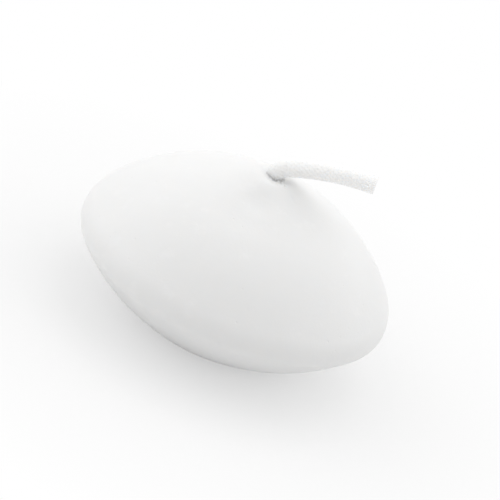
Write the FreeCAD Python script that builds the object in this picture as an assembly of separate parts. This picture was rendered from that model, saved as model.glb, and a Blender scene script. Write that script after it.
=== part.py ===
import FreeCAD, Part
import math
import os
from FreeCAD import Vector

# Floating candle: a moulded lens of wax, a waxed cotton wick and the metal tab that holds the wick.
# Millimetres and degrees. The origin is the middle of the flat base, +Z is up, and the wick
# leans over towards +X.

# Wax body: a deep dome above the rim, a shallower underside below it
body_diameter = 45.0
rim_rounding = 2.0

# Dome: a low cone at the crest, then a sphere, then a tighter shoulder down to the rim
crest_slope = 24.5            # below the level
dome_radius_ratio = 1.2       # of the dome's sphere to the body
shoulder_rounding = 4.6

# Underside: one sphere from the rim to the flat base that the candle stands on
underside_radius_ratio = 1.3  # of the underside's sphere to the body
base_diameter = 20.5

# Dimple where the wax shrank round the wick
dimple_depth = 1.6            # below the point where the crest's cone would end
dimple_curve_radius = 12.0
dimple_edge_rounding = 2.0

# Wick: straight through the wax, one tight bend above it, then a long drooping arc
wick_diameter = 2.6
wick_rise = 0.4               # straight stretch above the dimple's floor
wick_bend_radius = 1.75
wick_bend_angle = 66.0
wick_run = 12.2               # length of the drooping arc, along its middle
wick_droop_angle = 19.5

# Hole for the wick
hole_clearance = 0.2          # each side of the wick
hole_mouth_flare = 0.25       # width and height of the slope at the hole's mouth

# Metal tab: a flat disc with a neck that grips the wick
tab_diameter = 10.0
tab_thickness = 0.3
tab_setback = 0.2             # the tab's underside lies this far above the base
neck_height = 4.5             # above the disc
neck_wall = 0.3
neck_grip_clearance = 0.03    # between the neck and the wick, each side
neck_flare = 0.45             # width and height of the slopes where the neck rises from the disc

# Recess and pocket that the tab sits in
recess_side_clearance = 0.2
pocket_side_clearance = 0.15
pocket_end_clearance = 0.3

# Sizes that follow from the ones above
body_radius = body_diameter / 2
base_radius = base_diameter / 2
dome_radius = dome_radius_ratio * body_radius
underside_radius = underside_radius_ratio * body_radius
wick_radius = wick_diameter / 2
hole_radius = wick_radius + hole_clearance
neck_inner_radius = wick_radius + neck_grip_clearance
neck_outer_radius = neck_inner_radius + neck_wall
tab_radius = tab_diameter / 2
tab_top = tab_setback + tab_thickness
neck_top = tab_top + neck_height
recess_radius = tab_radius + recess_side_clearance
pocket_radius = neck_outer_radius + pocket_side_clearance
pocket_top = neck_top + pocket_end_clearance

UP = Vector(0, 0, 1)
ORIGIN = Vector(0, 0, 0)


def point(radius, height):
    """A point of a profile in the XZ plane."""
    return Vector(radius, 0, height)


def facing(turn):
    """The unit vector at this turn from straight up towards +X."""
    angle = math.radians(turn)
    return point(math.sin(angle), math.cos(angle))


def turn_towards(start, end):
    """The turn of the direction from one point to another."""
    return math.degrees(math.atan2(end.x - start.x, end.z - start.z))


def leg(hypotenuse, other_leg):
    return math.sqrt(hypotenuse**2 - other_leg**2)


def arc(centre, radius, start, end):
    turns = start, (start + end) / 2, end
    return Part.Arc(*[centre + facing(turn) * radius for turn in turns]).toShape()


def lines(*points):
    return [Part.makeLine(a, b) for a, b in zip(points, points[1:])]


def turned(edges):
    """The solid that a closed profile sweeps in one turn about the Z axis."""
    return Part.Face(Part.Wire(edges)).revolve(ORIGIN, UP, 360)


# Centres of the circles in the wax's outline. Each circle touches the next one, so the curves
# run into each other smoothly: a smaller circle inside a larger one lies as far from its centre
# as the radii differ, and two circles side by side lie as far apart as the radii add up to.
underside_centre = point(0, leg(underside_radius, base_radius))
rim_offset = body_radius - rim_rounding
rim_centre = point(rim_offset, underside_centre.z - leg(underside_radius - rim_rounding, rim_offset))
shoulder_centre = point(body_radius - shoulder_rounding, rim_centre.z)
dome_centre = point(0, rim_centre.z - leg(dome_radius - shoulder_rounding, shoulder_centre.x))

cone_tip = dome_centre + UP * (dome_radius / math.cos(math.radians(crest_slope)))
dimple_floor = cone_tip.z - dimple_depth
dimple_centre = point(0, dimple_floor + dimple_curve_radius)
mouth_radius = hole_radius + hole_mouth_flare
mouth_height = dimple_centre.z - leg(dimple_curve_radius, mouth_radius)


def dimple_edge_centre():
    """The circle that touches the dimple's and the crest's cone from inside the wax."""
    down_cone = facing(crest_slope + 90)
    below_tip = cone_tip - facing(crest_slope) * dimple_edge_rounding
    from_dimple = below_tip - dimple_centre
    beside = from_dimple.dot(facing(crest_slope))
    along = leg(dimple_curve_radius + dimple_edge_rounding, beside) - from_dimple.dot(down_cone)
    return below_tip + down_cone * along


def crest_outline():
    """From the mouth of the wick's hole over the dimple's edge and down the cone."""
    mouth = point(mouth_radius, mouth_height)
    edge_centre = dimple_edge_centre()
    cone_start = edge_centre + facing(crest_slope) * dimple_edge_rounding
    cone_end = dome_centre + facing(crest_slope) * dome_radius
    return [
        arc(dimple_centre, dimple_curve_radius, turn_towards(dimple_centre, mouth),
            turn_towards(dimple_centre, edge_centre)),
        arc(edge_centre, dimple_edge_rounding, turn_towards(edge_centre, dimple_centre), crest_slope),
        *lines(cone_start, cone_end),
    ]


def dome_outline():
    """From the cone down to the widest point of the rim."""
    shoulder = turn_towards(dome_centre, shoulder_centre)
    return [
        arc(dome_centre, dome_radius, crest_slope, shoulder),
        arc(shoulder_centre, shoulder_rounding, shoulder, 90),
    ]


def underside_outline():
    """From the widest point of the rim down to the edge of the flat base."""
    rim = turn_towards(underside_centre, rim_centre)
    base = turn_towards(underside_centre, point(base_radius, 0))
    return [
        arc(rim_centre, rim_rounding, 90, rim),
        arc(underside_centre, underside_radius, rim, base),
    ]


def tab_seat_outline():
    """Across the base, up into the recess and pocket of the metal tab, then up the wick's hole."""
    return lines(
        point(base_radius, 0),
        point(recess_radius, 0),
        point(recess_radius, tab_top),
        point(pocket_radius + neck_flare, tab_top),
        point(pocket_radius, tab_top + neck_flare),
        point(pocket_radius, pocket_top),
        point(hole_radius, pocket_top),
        point(hole_radius, mouth_height - hole_mouth_flare),
        point(mouth_radius, mouth_height),
    )


def wax_body():
    return turned(crest_outline() + dome_outline() + underside_outline() + tab_seat_outline())


def wick_path():
    """Straight up, round the tight bend, then out along the drooping arc."""
    droop_radius = wick_run / math.radians(wick_droop_angle)
    bend_start = point(0, dimple_floor + wick_rise)
    bend_centre = bend_start + point(wick_bend_radius, 0)
    bend_end = wick_bend_angle - 90
    droop_centre = bend_centre + facing(bend_end) * (wick_bend_radius - droop_radius)
    return Part.Wire([
        *lines(point(0, tab_setback), bend_start),
        arc(bend_centre, wick_bend_radius, -90, bend_end),
        arc(droop_centre, droop_radius, bend_end, bend_end + wick_droop_angle),
    ])


def wick():
    section = Part.Wire(Part.makeCircle(wick_radius, point(0, tab_setback), UP))
    return wick_path().makePipeShell([section], True, True)


def wick_sustainer():
    return turned(lines(
        point(neck_inner_radius + neck_flare, tab_setback),
        point(tab_radius, tab_setback),
        point(tab_radius, tab_top),
        point(neck_outer_radius + neck_flare, tab_top),
        point(neck_outer_radius, tab_top + neck_flare),
        point(neck_outer_radius, neck_top),
        point(neck_inner_radius, neck_top),
        point(neck_inner_radius, tab_setback + neck_flare),
        point(neck_inner_radius + neck_flare, tab_setback),
    ))


parts = {"wax_body": wax_body(), "wick": wick(), "wick_sustainer": wick_sustainer()}
os.makedirs("parts", exist_ok=True)
for name, shape in parts.items():
    solid = shape.Solids[0]
    solid.exportStep(f"parts/{name}.step")
    box = solid.BoundBox
    print(f"{name}: {len(shape.Solids)} solid, valid {solid.isValid()}, volume {solid.Volume:.1f} mm3, "
          f"x {box.XMin:.2f} to {box.XMax:.2f}, z {box.ZMin:.2f} to {box.ZMax:.2f}")
print(f"rim {rim_centre.z:.2f} mm above the base, dimple's floor {dimple_floor:.2f} mm")
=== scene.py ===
# %% [markdown]
# # A floating candle
#
# A floating candle is a lens of white wax with a wick through its middle. It is poured in two
# shallow moulds, so its dome and its underside are both turned shapes that meet at a soft rim.
# Around the wick the wax shrinks as it sets and leaves a dimple.
#
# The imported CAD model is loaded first. It gives the sizes, so nothing has to be fitted later.

# %% Load the frame
import math

import bpy
from mathutils import Matrix, Vector


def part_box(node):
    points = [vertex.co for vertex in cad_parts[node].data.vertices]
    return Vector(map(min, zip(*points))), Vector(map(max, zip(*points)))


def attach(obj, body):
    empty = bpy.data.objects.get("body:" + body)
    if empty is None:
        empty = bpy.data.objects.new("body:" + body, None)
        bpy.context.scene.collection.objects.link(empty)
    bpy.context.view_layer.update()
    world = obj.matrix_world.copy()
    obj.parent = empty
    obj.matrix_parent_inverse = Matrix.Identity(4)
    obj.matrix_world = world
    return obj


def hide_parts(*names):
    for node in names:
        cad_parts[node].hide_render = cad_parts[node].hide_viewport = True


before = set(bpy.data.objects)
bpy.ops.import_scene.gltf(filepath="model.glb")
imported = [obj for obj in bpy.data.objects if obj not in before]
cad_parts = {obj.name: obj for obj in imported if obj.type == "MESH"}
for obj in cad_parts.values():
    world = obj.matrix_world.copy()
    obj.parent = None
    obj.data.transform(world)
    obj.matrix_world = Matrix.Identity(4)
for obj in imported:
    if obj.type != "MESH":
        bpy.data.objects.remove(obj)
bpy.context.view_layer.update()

# %% [markdown]
# ## Sizes
#
# The body's radius, the heights and the wick's reach come from the CAD boxes. The roundings
# can't be read from a box, so they are repeated here in millimetres.

# %% Read the sizes from the frame
MM = 0.001

wax_low, wax_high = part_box("wax_body")
wick_low, wick_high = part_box("wick")
tab_low, tab_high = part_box("wick_sustainer")

body_radius = wax_high[0]
wick_radius = wick_high[1]
tab_radius = tab_high[0]
tab_bottom, neck_top = tab_low[2], tab_high[2]
print(f"body radius {body_radius / MM:.2f} mm, wick radius {wick_radius / MM:.2f} mm, "
      f"tab radius {tab_radius / MM:.2f} mm")

# %% [markdown]
# ## Working by place
#
# Every operator acts on all that is selected. So each step here first deselects everything and
# then picks the points that it needs by where they are.

# %% Pick points by their place
def open_mesh(piece):
    """Makes this the only selected object and opens its mesh with nothing selected."""
    bpy.ops.object.select_all(action="DESELECT")
    piece.select_set(True)
    bpy.context.view_layer.objects.active = piece
    bpy.ops.object.mode_set(mode="EDIT")
    bpy.ops.mesh.select_mode(type="VERT")
    bpy.ops.mesh.select_all(action="DESELECT")


def pick(piece, wanted):
    """Selects the points of an open mesh whose place is wanted."""
    bpy.ops.mesh.select_all(action="DESELECT")
    bpy.ops.object.mode_set(mode="OBJECT")
    for vertex in piece.data.vertices:
        vertex.select = bool(wanted(vertex.co))
    bpy.ops.object.mode_set(mode="EDIT")


def close_mesh():
    bpy.ops.object.mode_set(mode="OBJECT")


def apply_modifier(piece, kind, **settings):
    """Adds a modifier, sets it and applies it at once."""
    modifier = piece.modifiers.new(kind.lower(), kind)
    for name, value in settings.items():
        setattr(modifier, name, value)
    bpy.ops.object.select_all(action="DESELECT")
    piece.select_set(True)
    bpy.context.view_layer.objects.active = piece
    bpy.ops.object.modifier_apply(modifier=modifier.name)


def count(piece):
    return f"{piece.name}: {len(piece.data.vertices)} points, {len(piece.data.polygons)} faces"

# %% [markdown]
# ## An outline that is drawn and then turned
#
# The wax was poured in turned moulds, so the shortest way to its shape is the mould maker's:
# draw half of the section, then turn it once round the axis. A sphere primitive that is pushed
# into shape would need many guesses for the same curves.
#
# The section is made of lines and arcs. A line is an extrusion of the last point. An arc is the
# last point spun about the arc's centre. Turns are measured from straight up towards +X.

# %% Draw an outline with extrude and spin
def place(radius, height):
    """A point of a section in the XZ plane."""
    return Vector((radius, 0, height))


def facing(turn):
    """The unit vector at this turn from straight up towards +X, in degrees."""
    angle = math.radians(turn)
    return place(math.sin(angle), math.cos(angle))


def turn_towards(start, end):
    return math.degrees(math.atan2(end.x - start.x, end.z - start.z))


class Outline:
    """Half of a section, drawn from point to point."""

    def __init__(self, name, start):
        bpy.ops.object.select_all(action="DESELECT")
        bpy.ops.mesh.primitive_plane_add(size=MM)
        self.piece = bpy.context.object
        self.piece.name = name
        bpy.ops.object.mode_set(mode="EDIT")
        bpy.ops.mesh.select_all(action="SELECT")
        bpy.ops.mesh.merge(type="CENTER")
        bpy.ops.transform.translate(value=start)
        self.end = start

    def line(self, end, steps=1):
        step = (end - self.end) / steps
        for _ in range(steps):
            bpy.ops.mesh.extrude_region_move(TRANSFORM_OT_translate={"value": step})
        self.end = end

    def arc(self, centre, end_turn, steps):
        turn = end_turn - turn_towards(centre, self.end)
        bpy.ops.mesh.spin(steps=steps, angle=math.radians(turn), center=centre, axis=(0, -1, 0))
        self.end = centre + facing(end_turn) * (self.end - centre).length

    def turned(self, steps):
        """Closes the outline, spins it once round the Z axis and closes the last seam."""
        bpy.ops.mesh.select_all(action="SELECT")
        bpy.ops.mesh.remove_doubles(threshold=0.001 * MM)
        bpy.ops.mesh.spin(steps=steps, angle=math.tau, center=(0, 0, 0), axis=(0, 0, 1))
        bpy.ops.mesh.select_all(action="SELECT")
        bpy.ops.mesh.remove_doubles(threshold=0.001 * MM)
        bpy.ops.mesh.normals_make_consistent(inside=False)
        close_mesh()
        return self.piece

# %% [markdown]
# ## The wax body
#
# Its outline is a chain of circles that touch each other: the hollow of the dimple, the dimple's
# soft edge, a low cone, the dome's sphere, the tighter shoulder, the rim, and the underside's
# sphere down to the flat base. Two circles that touch share one direction at that point, so the
# wax shows no crease. A circle inside a larger one lies as far from its centre as their radii
# differ, and two circles side by side lie as far apart as their radii add up to.

# %% Find the circles of the wax
crest_slope = 24.5
dome_radius = 1.2 * body_radius
underside_radius = 1.3 * body_radius
shoulder_rounding = 4.6 * MM
rim_rounding = 2.0 * MM
base_radius = 10.25 * MM
dimple_depth = 1.6 * MM
dimple_curve_radius = 12.0 * MM
dimple_edge_rounding = 2.0 * MM
hole_radius = wick_radius + 0.2 * MM


def leg(hypotenuse, other_leg):
    return math.sqrt(hypotenuse**2 - other_leg**2)


underside_centre = place(0, leg(underside_radius, base_radius))
rim_offset = body_radius - rim_rounding
rim_height = underside_centre.z - leg(underside_radius - rim_rounding, rim_offset)
rim_centre = place(rim_offset, rim_height)
shoulder_centre = place(body_radius - shoulder_rounding, rim_centre.z)
dome_centre = place(0, rim_centre.z - leg(dome_radius - shoulder_rounding, shoulder_centre.x))
cone_tip = dome_centre + place(0, dome_radius / math.cos(math.radians(crest_slope)))

dimple_floor = cone_tip.z - dimple_depth
dimple_centre = place(0, dimple_floor + dimple_curve_radius)

down_cone = facing(crest_slope + 90)
below_tip = cone_tip - facing(crest_slope) * dimple_edge_rounding
beside = (below_tip - dimple_centre).dot(facing(crest_slope))
along = leg(dimple_curve_radius + dimple_edge_rounding, beside)
along -= (below_tip - dimple_centre).dot(down_cone)
edge_centre = below_tip + down_cone * along
print(f"rim {rim_centre.z / MM:.2f} mm, dimple's floor {dimple_floor / MM:.2f} mm above the base")

# %% [markdown]
# The outline starts where the wax has closed on the wick with a small hollow curve, as melted wax
# does on anything that stands in it. Underneath, it climbs into the shallow recess of the metal
# tab, into the pocket of the tab's neck and up the wick's hole, and ends where it began. So the
# turned body has one closed skin with no point on the axis, and its faces stay even.

# %% Draw the wax outline and turn it
recess_radius = tab_radius + 0.2 * MM
tab_thickness = 0.3 * MM
tab_top = tab_bottom + tab_thickness
neck_outer_radius = wick_radius + 0.33 * MM
pocket_radius = neck_outer_radius + 0.15 * MM
neck_flare = 0.45 * MM
pocket_top = neck_top + 0.3 * MM

seal_radius = 0.96 * wick_radius
seal_curve_radius = 0.12 * MM
seal_depth = 1.2 * MM
seal_lip = 0.08 * MM
seal_offset = seal_radius + seal_curve_radius
seal_height = dimple_centre.z - leg(dimple_curve_radius - seal_curve_radius, seal_offset)
seal_centre = place(seal_offset, seal_height)
seal_foot = seal_centre.z - seal_depth

outline = Outline("candle_wax", place(seal_radius, seal_centre.z))
outline.arc(seal_centre, turn_towards(dimple_centre, seal_centre) - 360, steps=4)
outline.arc(dimple_centre, turn_towards(dimple_centre, edge_centre), steps=12)
outline.arc(edge_centre, crest_slope, steps=12)
outline.line(dome_centre + facing(crest_slope) * dome_radius, steps=16)
outline.arc(dome_centre, turn_towards(dome_centre, shoulder_centre), steps=30)
outline.arc(shoulder_centre, 90, steps=16)
outline.arc(rim_centre, turn_towards(underside_centre, rim_centre), steps=10)
outline.arc(underside_centre, turn_towards(underside_centre, place(base_radius, 0)), steps=30)
outline.line(place(recess_radius, 0), steps=6)
outline.line(place(recess_radius, tab_top))
outline.line(place(pocket_radius + neck_flare, tab_top), steps=3)
outline.line(place(pocket_radius, tab_top + neck_flare))
outline.line(place(pocket_radius, pocket_top), steps=3)
outline.line(place(hole_radius, pocket_top))
outline.line(place(hole_radius, seal_foot - seal_depth), steps=10)
outline.line(place(seal_radius - seal_lip, seal_foot), steps=4)
outline.line(place(seal_radius - seal_lip, seal_centre.z), steps=6)
outline.line(place(seal_radius, seal_centre.z))
wax = outline.turned(steps=256)
print(count(wax))

# %% [markdown]
# ## Wax that was poured, not machined
#
# A poured candle is never quite round. Its skin has slow swells a tenth of a millimetre deep, and
# its front has slumped a little beyond the dimple. Sculpting would do it, but a few proportional
# moves and one Displace modifier are easier to repeat. A proportional move takes the skin round
# one spot along, less and less out to its reach.

# %% Slump the front of the crest
def move_skin(piece, spot, move, reach, spot_radius):
    """Moves the upper skin at one spot, and the skin round it less and less out to the reach.

    The spot's x and y, the move and both radii are in millimetres.
    """
    middle = Vector([value * MM for value in spot])
    inner = seal_radius - 0.5 * seal_lip
    pick(piece, lambda at: at.z > rim_centre.z and at.xy.length > inner
         and (at.z > seal_foot or at.xy.length > hole_radius + seal_lip)
         and (at.xy - middle).length < spot_radius * MM)
    bpy.ops.transform.translate(value=[value * MM for value in move], use_proportional_edit=True,
                                proportional_edit_falloff="SMOOTH", proportional_size=reach * MM)


open_mesh(wax)
for spot, depth, reach in [((-0.5, -6.2), 0.24, 3.0), ((-0.8, -9.0), 0.14, 4.5),
                           ((-1.0, -13.0), 0.08, 6.0)]:
    move_skin(wax, spot, move=(0, 0, -depth), reach=reach, spot_radius=0.45)
close_mesh()
crest = max(vertex.co.z for vertex in wax.data.vertices)
print(f"crest {crest / MM:.2f} mm high")

# %% Let the skin swell a little
def smooth_step(value, low, high):
    share = min(max((value - low) / (high - low), 0), 1)
    return share * share * (3 - 2 * share)


skin = wax.vertex_groups.new(name="outer skin")
for vertex in wax.data.vertices:
    radius = vertex.co.xy.length
    from_hole = smooth_step(radius, hole_radius + 1.5 * MM, hole_radius + 5 * MM)
    off_base = smooth_step(vertex.co.z, 0.3 * MM, 2.5 * MM)
    skin.add([vertex.index], from_hole * off_base, "REPLACE")

swell_width = 13 * MM
swell_depth = 0.22 * MM
swell = bpy.data.textures.new("slow swell", "CLOUDS")
swell.noise_scale = swell_width
swell.noise_depth = 1
apply_modifier(wax, "DISPLACE", texture=swell, texture_coords="LOCAL", vertex_group=skin.name,
               strength=swell_depth, mid_level=1.0)
print(f"the skin lies up to {swell_depth / MM:.2f} mm below the turned shape")

# %% [markdown]
# The wick was pushed in from below and bent over while the wax was soft. The wax has crept up a
# little on both sides of the wick's front, with a small pit between, and a fine crack runs from
# there towards the front right. The same proportional moves make them, with a shorter reach.

# %% Raise the lips, open the pit and crack the skin
left_lip, right_lip, pit = (-1.05, -0.95), (1.10, -0.90), (0.15, -1.30)
crack = [((1.10, -1.35), 0.15), ((1.79, -1.84), 0.18), ((2.60, -2.50), 0.16), ((3.20, -2.90), 0.10)]

open_mesh(wax)
move_skin(wax, left_lip, move=(0, 0, 0.10), reach=1.6, spot_radius=0.30)
move_skin(wax, right_lip, move=(0, 0, 0.08), reach=1.0, spot_radius=0.25)
move_skin(wax, pit, move=(0, -0.10, -0.14), reach=0.42, spot_radius=0.18)
for spot, depth in crack:
    move_skin(wax, spot, move=(0, 0, -depth), reach=0.32, spot_radius=0.10)
close_mesh()
bpy.ops.object.shade_smooth_by_angle(angle=math.radians(50))
print(count(wax))

# %% [markdown]
# ## The wick
#
# The wick is a braided cotton cord that has been dipped in wax. Twelve yarns wind one way and
# twelve the other, each over one and under the next, round a straight core. Modelling one wavy
# yarn by hand and copying it is the usual way, and the Screw modifier makes the winding exact:
# it sweeps the yarns' cut ends up a screw thread. The over and under is a wave in the yarns'
# distance from the axis, which runs opposite in the two sets.

# %% Wind the yarns
bend_radius, bend_angle = 1.75 * MM, 66.0
droop_length, droop_angle = 12.2 * MM, 19.5
wick_start = place(0, wick_low[2])
bend_start = place(0, dimple_floor + 0.4 * MM)
bend_length = bend_radius * math.radians(bend_angle)
wick_length = (bend_start - wick_start).length + bend_length + droop_length

yarns_each_way = 12
yarn_path_radius = 0.845 * wick_radius
yarn_half_depth, yarn_half_width = 0.14 * wick_radius, 0.17 * wick_radius
winding_pitch = 8.4 * MM
wave_height = 0.035 * wick_radius
steps_per_turn = 40


def wind(name, way):
    """Twelve yarns round the axis, wound one way, as long as the wick."""
    bpy.ops.object.select_all(action="DESELECT")
    bpy.ops.mesh.primitive_circle_add(vertices=10, radius=1.0, location=(0, 0, 0))
    yarns = bpy.context.object
    yarns.name = name
    bpy.ops.object.mode_set(mode="EDIT")
    bpy.ops.mesh.select_all(action="SELECT")
    bpy.ops.transform.resize(value=(yarn_half_depth, yarn_half_width, 1))
    bpy.ops.transform.translate(value=(yarn_path_radius, 0, 0))
    bpy.ops.mesh.spin(steps=yarns_each_way - 1, dupli=True, center=(0, 0, 0), axis=(0, 0, 1),
                      angle=math.tau * (yarns_each_way - 1) / yarns_each_way)
    close_mesh()
    turns = wick_length / winding_pitch
    steps = round(steps_per_turn * turns)
    apply_modifier(yarns, "SCREW", axis="Z", angle=way * math.tau * turns, screw_offset=wick_length,
                   steps=steps, render_steps=steps)
    for vertex in yarns.data.vertices:
        crossing = 2 * yarns_each_way * math.tau * vertex.co.z / winding_pitch
        wave = way * wave_height * math.cos(crossing)
        vertex.co.xy *= 1 + wave / vertex.co.xy.length
    open_mesh(yarns)
    bpy.ops.mesh.select_non_manifold()
    bpy.ops.mesh.fill_holes(sides=0)
    bpy.ops.mesh.select_all(action="SELECT")
    bpy.ops.mesh.normals_make_consistent(inside=False)
    close_mesh()
    return yarns


left_yarns = wind("left_yarns", 1)
right_yarns = wind("right_yarns", -1)
print(count(left_yarns), "|", count(right_yarns))

# %% [markdown]
# The wax on the wick fills the gaps and melts the yarns into one skin. A Boolean union would
# keep every crossing sharp. A voxel remesh welds all that overlaps into one even skin, and a
# little smoothing then rounds it as a dip in hot wax does.

# %% Weld the yarns and dip them in wax
core_radius = 0.90 * wick_radius
end_rounding = 0.1 * MM
finest_detail = 0.075 * MM

bpy.ops.object.select_all(action="DESELECT")
bpy.ops.mesh.primitive_cylinder_add(vertices=32, radius=core_radius, depth=wick_length,
                                    location=(0, 0, wick_length / 2))
wick = bpy.context.object
wick.name = "candle_wick"
bpy.ops.object.mode_set(mode="EDIT")
bpy.ops.mesh.select_all(action="SELECT")
bpy.ops.mesh.bevel(offset=end_rounding, segments=2)
close_mesh()
bpy.ops.object.transform_apply(location=True, rotation=True, scale=True)
left_yarns.select_set(True)
right_yarns.select_set(True)
bpy.ops.object.join()
apply_modifier(wick, "REMESH", mode="VOXEL", voxel_size=finest_detail, use_smooth_shade=True)
apply_modifier(wick, "SMOOTH", factor=0.5, iterations=8)
print(count(wick), f"{wick_length / MM:.1f} mm long")

# %% [markdown]
# The straight cord is then bent. It stands in the wax, turns over in one tight bend above the
# dimple and droops a little on the way out. A Bezier curve with four points draws that line, and
# the Curve modifier lays the cord along it without stretching it.

# %% Bend the wick over
def handle_length(radius, angle):
    """How long the handles of a Bezier arc are."""
    return 4 / 3 * math.tan(math.radians(angle) / 4) * radius


bend_centre = bend_start + place(bend_radius, 0)
bend_end_turn = bend_angle - 90
droop_radius = droop_length / math.radians(droop_angle)
droop_centre = bend_centre + facing(bend_end_turn) * (bend_radius - droop_radius)
bend_end = bend_centre + facing(bend_end_turn) * bend_radius
tip_turn = bend_end_turn + droop_angle
tip = droop_centre + facing(tip_turn) * droop_radius
bend_handle = handle_length(bend_radius, bend_angle)
droop_handle = handle_length(droop_radius, droop_angle)
out_of_bend = facing(bend_end_turn + 90)

bpy.ops.object.select_all(action="DESELECT")
bpy.ops.curve.primitive_bezier_curve_add(location=(0, 0, 0))
line = bpy.context.object
spline = line.data.splines[0]
spline.bezier_points.add(2)
stretch = (bend_start - wick_start) / 3
knots = [
    (wick_start, wick_start - stretch, wick_start + stretch),
    (bend_start, bend_start - stretch, bend_start + place(0, bend_handle)),
    (bend_end, bend_end - out_of_bend * bend_handle, bend_end + out_of_bend * droop_handle),
    (tip, tip - facing(tip_turn + 90) * droop_handle, tip + facing(tip_turn + 90) * droop_handle),
]
for point, (at, before, after) in zip(spline.bezier_points, knots):
    point.handle_left_type = point.handle_right_type = "FREE"
    point.co, point.handle_left, point.handle_right = at, before, after
spline.resolution_u = 48
line.data.twist_mode = "MINIMUM"
apply_modifier(wick, "CURVE", object=line, deform_axis="POS_Z")
bpy.data.objects.remove(line)
print("wick's reach:", [round(max(v.co[i] for v in wick.data.vertices) / MM, 2) for i in range(3)])

# %% [markdown]
# ## The metal tab
#
# Underneath, a pressed tab of thin tinned steel holds the wick: a flat disc whose middle is drawn
# up into a neck. It is one sheet, so the turned outline runs up one side of the sheet and down
# the other, with a round throat where the sheet was drawn.

# %% Turn the tab
neck_inner_radius = wick_radius + 0.03 * MM
throat = 0.45 * MM
sheet_edge = 0.08 * MM
throat_centre = place(neck_inner_radius + throat, tab_bottom + throat)

outline = Outline("wick_tab", place(neck_inner_radius, neck_top))
outline.line(place(neck_inner_radius, throat_centre.z), steps=4)
outline.arc(throat_centre, -180, steps=8)
outline.line(place(tab_radius - sheet_edge, tab_bottom), steps=4)
outline.arc(place(tab_radius - sheet_edge, tab_bottom + sheet_edge), 90, steps=4)
outline.line(place(tab_radius, tab_top - sheet_edge))
outline.arc(place(tab_radius - sheet_edge, tab_top - sheet_edge), 0, steps=4)
outline.line(place(throat_centre.x, tab_top), steps=4)
outline.arc(throat_centre, -90, steps=5)
outline.line(place(neck_outer_radius, neck_top), steps=4)
tab = outline.turned(steps=96)
bpy.ops.object.shade_smooth_by_angle(angle=math.radians(35))
print(count(tab))

# %% [markdown]
# ## Shader sums in plain Python
#
# A finish is a small sum of patterns. Written node by node it is hard to read, so one class wraps
# a socket: values can be added and multiplied like numbers, and one method adds any other node.

# %% Wrap sockets so that they add up
class Value:
    """A socket of a node tree that takes part in sums like a number."""

    def __init__(self, tree, socket=None):
        self.tree, self.socket = tree, socket

    def node(self, kind, inputs=None, out=0, stops=None, **settings):
        """Adds a node, with its settings first, then its ramp's stops, then its sockets."""
        made = self.tree.nodes.new(kind)
        for name, value in settings.items():
            setattr(made, name, value)
        if stops:
            ramp = made.color_ramp
            while len(ramp.elements) < len(stops):
                ramp.elements.new(1.0)
            for element, (position, grey) in zip(ramp.elements, stops):
                element.position, element.color = position, (grey, grey, grey, 1)
        for name, value in (inputs or {}).items():
            if isinstance(value, Value):
                self.tree.links.new(value.socket, made.inputs[name])
            else:
                made.inputs[name].default_value = value
        return Value(self.tree, made.outputs[out])

    def maths(self, operation, first, second):
        return self.node("ShaderNodeMath", {0: first, 1: second}, operation=operation)

    def __add__(self, other):
        return self.maths("ADD", self, other)

    def __sub__(self, other):
        return self.maths("SUBTRACT", self, other)

    def __rsub__(self, other):
        return self.maths("SUBTRACT", other, self)

    def __mul__(self, other):
        return self.maths("MULTIPLY", self, other)

    def __truediv__(self, other):
        return self.maths("DIVIDE", self, other)

    __radd__, __rmul__ = __add__, __mul__


def noise(at, size, detail=3.0, roughness=0.5):
    """A cloudy pattern from 0 to 1, whose patches are about this size in metres."""
    return at.node("ShaderNodeTexNoise", {"Vector": at, "Scale": 1 / size, "Detail": detail,
                                          "Roughness": roughness})


def ramp(value, *stops):
    return value.node("ShaderNodeValToRGB", {"Fac": value}, stops=stops)


def new_finish(name, **constants):
    """A material with a Principled shader, and the object's coordinates to paint it by."""
    material = bpy.data.materials.new(name)
    material.use_nodes = True
    shader = material.node_tree.nodes["Principled BSDF"]
    for socket, value in constants.items():
        shader.inputs[socket.replace("_", " ")].default_value = value
    start = Value(material.node_tree)
    return material, shader, start.node("ShaderNodeTexCoord", out="Object")


def feed(shader, **values):
    """Links varying values to the shader's sockets."""
    for socket, value in values.items():
        value.tree.links.new(value.socket, shader.inputs[socket.replace("_", " ")])


def mix_colours(share, first, second):
    """The first colour where the share is 0, the second where it is 1."""
    return share.node("ShaderNodeMix", {"Factor": share, 6: (*first, 1), 7: (*second, 1)}, out=2,
                      data_type="RGBA")


def bump(height, distance, under=None):
    """A relief of this height, on top of the relief under it."""
    inputs = {"Height": height, "Distance": distance, "Strength": 1.0}
    if under:
        inputs["Normal"] = under
    return height.node("ShaderNodeBump", inputs)


def put_on(piece, finish):
    """Gives a piece this finish and no other."""
    piece.data.materials.clear()
    piece.data.materials.append(finish)
    print(f"{piece.name}: {finish.name}, {len(finish.node_tree.nodes)} nodes")

# %% [markdown]
# ## The finish of the wax
#
# Paraffin wax is white but not like paint: light goes a few millimetres in and comes out again,
# which softens every shadow. The Principled shader's subsurface scattering does that. The skin is
# satin, a little duller where it has been rubbed, with a faint bloom in soft patches, tiny pits
# from air bubbles, and a fine grain that only shows as a break in the gloss.

# %% Make the wax finish
wax_finish, shader, at = new_finish(
    "moulded paraffin wax", Subsurface_Weight=0.55, Subsurface_Scale=1.2 * MM, IOR=1.44,
    Subsurface_Radius=(1.0, 0.95, 0.9), Specular_IOR_Level=0.42)

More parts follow.
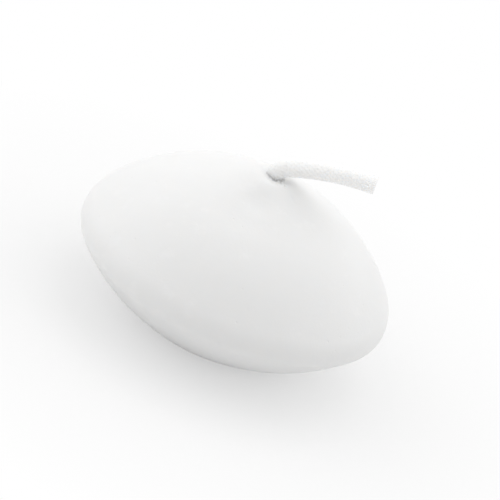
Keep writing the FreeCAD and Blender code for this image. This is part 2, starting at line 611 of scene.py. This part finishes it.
cloudy = noise(at, 9 * MM, detail=4)
fine_cloud = noise(at, 1.6 * MM, detail=3)
rubbed = ramp(noise(at, 3.5 * MM, detail=6, roughness=0.7), (0.56, 0.0), (0.68, 1.0))
speck_spacing = 1.5 * MM
speck_cells = at.node("ShaderNodeTexVoronoi", {"Vector": at, "Scale": 1 / speck_spacing},
                      out="Distance")
specks = ramp(speck_cells, (0.05, 1.0), (0.11, 0.0)) * ramp(cloudy, (0.52, 0.0), (0.60, 1.0))
grain = noise(at, 0.30 * MM, detail=2)

tone = 0.35 * cloudy + 0.25 * fine_cloud + 0.4 * rubbed
feed(shader,
     Base_Color=mix_colours(tone, (0.84, 0.84, 0.836), (0.885, 0.885, 0.881)),
     Roughness=0.36 + 0.10 * cloudy + 0.12 * rubbed + 0.05 * grain,
     Normal=bump(specks, -0.03 * MM, under=bump(
         0.7 * fine_cloud + 0.3 * grain, 0.035 * MM, under=bump(rubbed, 0.01 * MM))))
put_on(wax, wax_finish)

# %% [markdown]
# ## The finish of the wick
#
# Bleached cotton that is soaked with wax is whiter than the body and lets light right through, so
# its underside stays pale. Its yarns are bundles of fibres, so fine streaks run along it, and the
# wax on it is patchy: where it is thick the wick shines a little. A little sheen stands for the
# loose fibre ends, which catch light at the wick's edges.

# %% Make the wick finish
wick_finish, shader, at = new_finish(
    "waxed cotton", Subsurface_Weight=1.0, Subsurface_Scale=3.0 * MM, Sheen_Weight=0.1, IOR=1.44,
    Subsurface_Radius=(1.0, 0.95, 0.9), Specular_IOR_Level=0.35)
stretched = at.node("ShaderNodeMapping", {"Vector": at, "Scale": (0.25, 1.0, 0.35)})
fibres = noise(stretched, 0.09 * MM, detail=3)
wax_film = noise(at, 1.1 * MM, detail=3)
tone = 0.6 * wax_film + 0.4 * fibres
feed(shader,
     Base_Color=mix_colours(tone, (0.88, 0.877, 0.866), (0.93, 0.93, 0.925)),
     Roughness=0.62 - 0.16 * wax_film + 0.08 * fibres,
     Normal=bump(fibres, 0.02 * MM))
put_on(wick, wick_finish)

# %% [markdown]
# ## The finish of the tab
#
# Tinned sheet is dull silver. It was rolled, so faint streaks run one way across it, and handling
# has left it a little cloudy.

# %% Make the tab finish
tab_finish, shader, at = new_finish("dull tinned sheet", Metallic=1.0)
rolled = at.node("ShaderNodeMapping", {"Vector": at, "Scale": (0.06, 1.0, 1.0)})
streaks = noise(rolled, 0.12 * MM, detail=4)
cloudy = noise(at, 1.8 * MM, detail=3)
feed(shader,
     Base_Color=mix_colours(0.5 * streaks + 0.5 * cloudy, (0.62, 0.62, 0.61), (0.76, 0.76, 0.75)),
     Roughness=0.30 + 0.12 * streaks + 0.12 * cloudy,
     Normal=bump(streaks, 0.004 * MM))
put_on(tab, tab_finish)

# %% [markdown]
# ## Put each piece in place of its CAD solid
#
# Each piece rides on the model's one body and replaces the CAD solid of the same thing.

# %% Tie the pieces to the frame
for piece, node, slot in [(wax, "wax_body", "wax"), (wick, "wick", "wick_cotton"),
                          (tab, "wick_sustainer", "tinned_steel")]:
    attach(piece, "root")
    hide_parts(node)

# %% [markdown]
# ## Floor, light and camera
#
# The candle stands on a plain white floor. White on white needs soft light that is strongest
# from above, so that the dome fades to white at the top and to pale grey at the rim. One large
# softbox behind the candle would do that, but seen from behind the wax would then be plain white
# without any shape. So three softboxes of moderate power share the work, and the world gives the
# fill light. The floor and the world are plain white only where they are seen, straight or in a
# gloss, so their white adds no light.

# %% Lay the floor
def in_view(tree):
    """1 for what is seen, straight, in a gloss or through glass, and 0 for light that falls."""
    rays = tree.nodes.new("ShaderNodeLightPath")
    camera, glossy, through = [Value(tree, rays.outputs[f"Is {kind} Ray"])
                               for kind in ("Camera", "Glossy", "Transmission")]
    return camera + glossy + through


floor_size = 4.0
shadow_reach = 60 * MM

bpy.ops.object.select_all(action="DESELECT")
bpy.ops.mesh.primitive_plane_add(size=floor_size, location=(0, 0, 0))
floor = bpy.context.object
floor.name = "floor"
floor_finish, shader, at = new_finish("white paper", Roughness=0.9, Specular_IOR_Level=0.1)
fibre = noise(at, 1.0 * MM, detail=2)
feed(shader, Base_Color=mix_colours(fibre, (0.86, 0.86, 0.86), (0.88, 0.88, 0.88)))
tree = floor_finish.node_tree
glow = tree.nodes.new("ShaderNodeEmission")
distance = at.node("ShaderNodeVectorMath", {0: at}, out="Value", operation="LENGTH")
far = ramp(distance / shadow_reach, (0.45, 0.5), (1.0, 1.0))
share = in_view(tree) * far
blend = share.node("ShaderNodeMixShader", {"Fac": share, 1: Value(tree, shader.outputs[0]),
                                           2: Value(tree, glow.outputs[0])})
tree.links.new(blend.socket, tree.nodes["Material Output"].inputs["Surface"])
put_on(floor, floor_finish)

# %% Light the candle
white = (1, 1, 1, 1)
fill_strength = 0.585

world = bpy.context.scene.world or bpy.data.worlds.new("studio")
bpy.context.scene.world = world
world.use_nodes = True
tree = world.node_tree
tree.nodes.clear()
fill = Value(tree).node("ShaderNodeBackground", {"Color": white, "Strength": fill_strength})
seen = Value(tree).node("ShaderNodeBackground", {"Color": white, "Strength": 1.0})
viewed = in_view(tree)
world_output = tree.nodes.new("ShaderNodeOutputWorld")
tree.links.new(viewed.node("ShaderNodeMixShader", {"Fac": viewed, 1: fill, 2: seen}).socket,
               world_output.inputs["Surface"])


def add_softbox(name, direction, distance, size, power):
    """A square lamp that faces the candle from this direction."""
    spot = Vector(direction).normalized() * distance
    bpy.ops.object.light_add(type="AREA", location=spot)
    lamp = bpy.context.object
    lamp.name = name
    lamp.rotation_euler = spot.to_track_quat("Z", "Y").to_euler()
    lamp.data.size = size
    lamp.data.energy = power
    print(f"{name}: {power} W, {size} m wide")


add_softbox("left softbox", (-0.97, 0.0, 0.26), distance=0.60, size=0.80, power=1.14)
add_softbox("right softbox", (0.50, 0.29, 0.82), distance=0.60, size=1.00, power=2.11)
add_softbox("upper left softbox", (-0.50, 0.30, 0.80), distance=0.60, size=1.00, power=1.34)

# %% [markdown]
# ## The camera
#
# The camera looks down on the candle a little and is rolled, so that the candle leans over to the
# right. It stands close, as one does to a thing of this size. The lens then follows from the share
# of the frame that the candle fills, which saves trying lenses one by one.

# %% Set the camera
camera_height_angle = 26.2
camera_roll = 24.4
camera_distance = 0.45
candle_share_of_frame = 0.66
sensor_width = 36.0
target = Vector((1.0 * MM, 0, 12.5 * MM))

bpy.ops.object.camera_add()
camera = bpy.context.object
camera.data.sensor_width = sensor_width
camera.data.lens = sensor_width * camera_distance / (2 * body_radius / candle_share_of_frame)
height_angle = math.radians(camera_height_angle)
towards_camera = Vector((0, -math.cos(height_angle), math.sin(height_angle)))
camera.matrix_world = (
    Matrix.Translation(target + towards_camera * camera_distance)
    @ Matrix.Rotation(math.pi / 2 - height_angle, 4, "X")
    @ Matrix.Rotation(math.radians(camera_roll), 4, "Z"))
bpy.context.scene.camera = camera
bpy.context.scene.view_settings.view_transform = "Standard"
print(f"lens {camera.data.lens:.0f} mm")
